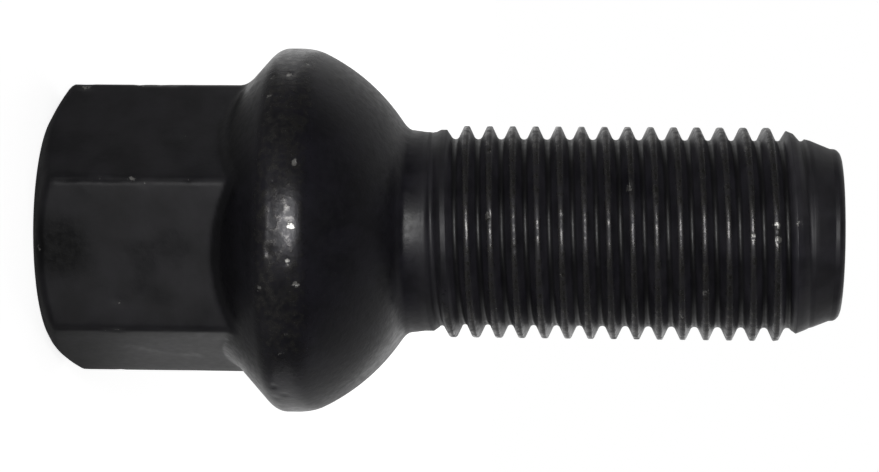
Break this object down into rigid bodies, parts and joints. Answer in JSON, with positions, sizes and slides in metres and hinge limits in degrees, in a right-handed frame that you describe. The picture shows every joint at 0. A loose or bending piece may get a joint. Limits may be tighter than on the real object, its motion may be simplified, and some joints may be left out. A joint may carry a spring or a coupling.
{
  "type": "wheel bolt",
  "caption": "Black coated steel bolt that clamps a car wheel to its hub: hexagon head, round collar with a ball seat, plain neck and threaded shank with a tapered tip.",
  "frame": {"origin": "centre of the head end face, which the bolt stands on", "axes": "+Z along the bolt's axis from the head to the tip, +X square to one flat of the hexagon"},
  "size_m": [0.024, 0.024, 0.0514],
  "materials": {
    "black_coated_steel": "worn black coating on forged steel, satin on the flats and shinier on the collar and the thread"
  },
  "bodies": {
    "root": {"wheel_bolt": "black_coated_steel"}
  },
  "joints": []
}
